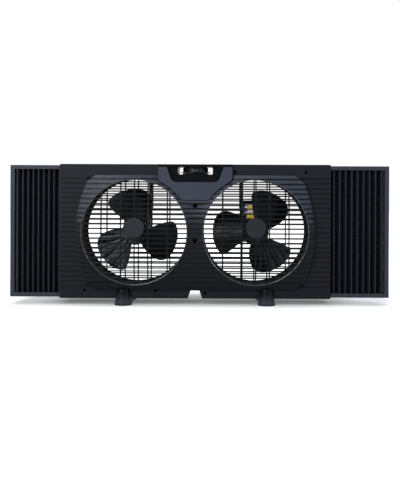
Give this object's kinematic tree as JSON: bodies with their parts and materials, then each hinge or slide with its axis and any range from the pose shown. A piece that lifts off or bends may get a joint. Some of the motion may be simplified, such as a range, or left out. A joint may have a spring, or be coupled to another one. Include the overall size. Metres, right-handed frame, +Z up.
{
  "type": "window fan",
  "caption": "Wide window fan with barred round openings in a raised cover, a dial in a handle slot, pleated side expanders and low feet.",
  "frame": {"origin": "on the sill, at the middle of the body's width and depth", "axes": "+X to the viewer's right along the window, +Y through the body away from the viewer, +Z up"},
  "size_m": [0.854, 0.124, 0.316],
  "materials": {
    "shell_black": "fine satin texture",
    "cover_black": "fine satin texture",
    "grille_black": "satin",
    "pod_grey": "satin",
    "tray_black": "semi-gloss",
    "dial_black": "satin",
    "blade_black": "satin",
    "foot_black": "satin",
    "rail_grey": "satin",
    "curtain_black": "matt",
    "plate_steel": "zinc-plated",
    "lamination_steel": "varnished edges",
    "armature_cast": "cast and turned",
    "shaft_steel": "ground",
    "screw_zinc": "zinc-plated",
    "bush_bronze": "sintered",
    "coil_tape": "polyester tape",
    "switch_nylon": "satin",
    "wire_jacket": "satin"
  },
  "bodies": {
    "housing": {"front_frame": "shell_black", "rear_housing": "shell_black", "front_cover": "cover_black", "control_pod": "pod_grey", "handle_tray": "tray_black", "rotary_switch": "switch_nylon", "switch_nut": "screw_zinc", "cord_bush": "wire_jacket", "housing_screws": "screw_zinc", "cover_screws": "screw_zinc", "front_grille_left": "grille_black", "rear_grille_left": "grille_black", "stator_left": "lamination_steel", "coil_left": "coil_tape", "front_bracket_left": "plate_steel", "rear_bracket_left": "plate_steel", "bushes_left": "bush_bronze", "motor_bolts_left": "screw_zinc", "wiring_left": "wire_jacket", "foot_left": "foot_black", "curtain_left": "curtain_black", "front_grille_right": "grille_black", "rear_grille_right": "grille_black", "stator_right": "lamination_steel", "coil_right": "coil_tape", "front_bracket_right": "plate_steel", "rear_bracket_right": "plate_steel", "bushes_right": "bush_bronze", "motor_bolts_right": "screw_zinc", "wiring_right": "wire_jacket", "foot_right": "foot_black", "curtain_right": "curtain_black"},
    "dial": {"control_dial": "dial_black", "switch_spindle": "shaft_steel"},
    "rotor_left": {"fan_rotor_left": "blade_black", "hub_clip_left": "screw_zinc", "motor_shaft_left": "shaft_steel", "armature_left": "armature_cast"},
    "expander_left": {"expander_frame_left": "rail_grey"},
    "rotor_right": {"fan_rotor_right": "blade_black", "hub_clip_right": "screw_zinc", "motor_shaft_right": "shaft_steel", "armature_right": "armature_cast"},
    "expander_right": {"expander_frame_right": "rail_grey"}
  },
  "joints": [
    {"name": "dial_turn", "type": "hinge", "parent": "housing", "child": "dial", "pos_m": [0, -0.023, 0.3], "axis": [0, 0, 1], "range_deg": [-60, 60]},
    {"name": "rotor_left_spin", "type": "hinge", "parent": "housing", "child": "rotor_left", "pos_m": [-0.136, -0.0195, 0.1635], "axis": [0, 1, 0], "continuous": true},
    {"name": "rotor_right_spin", "type": "hinge", "parent": "housing", "child": "rotor_right", "pos_m": [0.136, -0.0195, 0.1635], "axis": [0, 1, 0], "continuous": true},
    {"name": "expander_left_slide", "type": "slide", "parent": "housing", "child": "expander_left", "axis": [-1, 0, 0], "range_m": [-0.084, 0.02], "deforming": ["curtain_left"]},
    {"name": "expander_right_slide", "type": "slide", "parent": "housing", "child": "expander_right", "axis": [1, 0, 0], "range_m": [-0.104, 0], "deforming": ["curtain_right"]}
  ]
}
